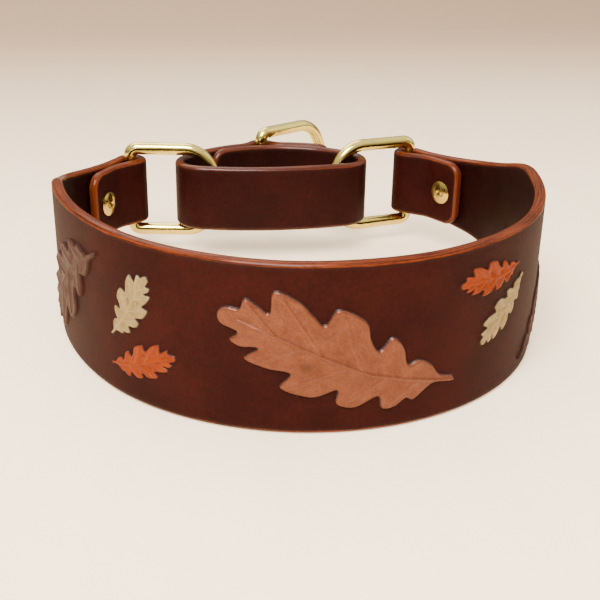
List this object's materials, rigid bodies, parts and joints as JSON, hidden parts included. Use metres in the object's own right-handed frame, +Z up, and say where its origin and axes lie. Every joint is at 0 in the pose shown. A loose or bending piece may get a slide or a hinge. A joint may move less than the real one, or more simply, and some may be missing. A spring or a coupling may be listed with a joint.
{
  "type": "martingale dog collar",
  "caption": "Wide leather martingale collar with tooled leaf decoration: D-rings in its folded tabs carry a riveted control loop with a leash ring.",
  "frame": {"origin": "centre of the round front's plan, at the height of the band's lower edge, which the collar stands on", "axes": "+Y to the back, where the rings and the control loop are; +Z up, across the band's width; +X to the right seen from the front"},
  "size_m": [0.1626, 0.1888, 0.0508],
  "materials": {
    "band_leather": "dyed and burnished, satin",
    "strap_leather": "dyed and burnished, satin",
    "ring_brass": "polished",
    "rivet_brass": "polished, lightly aged"
  },
  "bodies": {
    "collar": {"collar_band": "band_leather", "right_tab_rivet_post": "rivet_brass", "right_tab_rivet_cap": "rivet_brass", "left_tab_rivet_post": "rivet_brass", "left_tab_rivet_cap": "rivet_brass"},
    "left_ring": {"left_d_ring": "ring_brass"},
    "right_ring": {"right_d_ring": "ring_brass"},
    "loop": {"control_loop": "strap_leather", "loop_left_rivet_post": "rivet_brass", "loop_left_rivet_cap": "rivet_brass", "loop_right_rivet_post": "rivet_brass", "loop_right_rivet_cap": "rivet_brass"},
    "leash_ring": {"leash_d_ring": "ring_brass"}
  },
  "joints": [
    {"name": "loop_draw", "type": "slide", "parent": "collar", "child": "loop", "axis": [0, 1, 0], "range_m": [0, 0.016]},
    {"name": "left_ring_swing", "type": "hinge", "parent": "collar", "child": "left_ring", "pos_m": [-0.05597, 0.07393, 0.0254], "axis": [0, 0, 1], "range_deg": [0, 30.98]},
    {"name": "right_ring_swing", "type": "hinge", "parent": "collar", "child": "right_ring", "pos_m": [0.05597, 0.07393, 0.0254], "axis": [0, 0, 1], "range_deg": [-28.92, 0]},
    {"name": "leash_ring_swing", "type": "hinge", "parent": "loop", "child": "leash_ring", "pos_m": [-0.00247, 0.09123, 0.0254], "axis": [0, 0, 1], "range_deg": [-30, 130]}
  ],
  "couplings": [
    {"joint": "left_ring_swing", "follows": "loop_draw", "rad_per_m": 33.247},
    {"joint": "right_ring_swing", "follows": "loop_draw", "rad_per_m": -31.006}
  ]
}
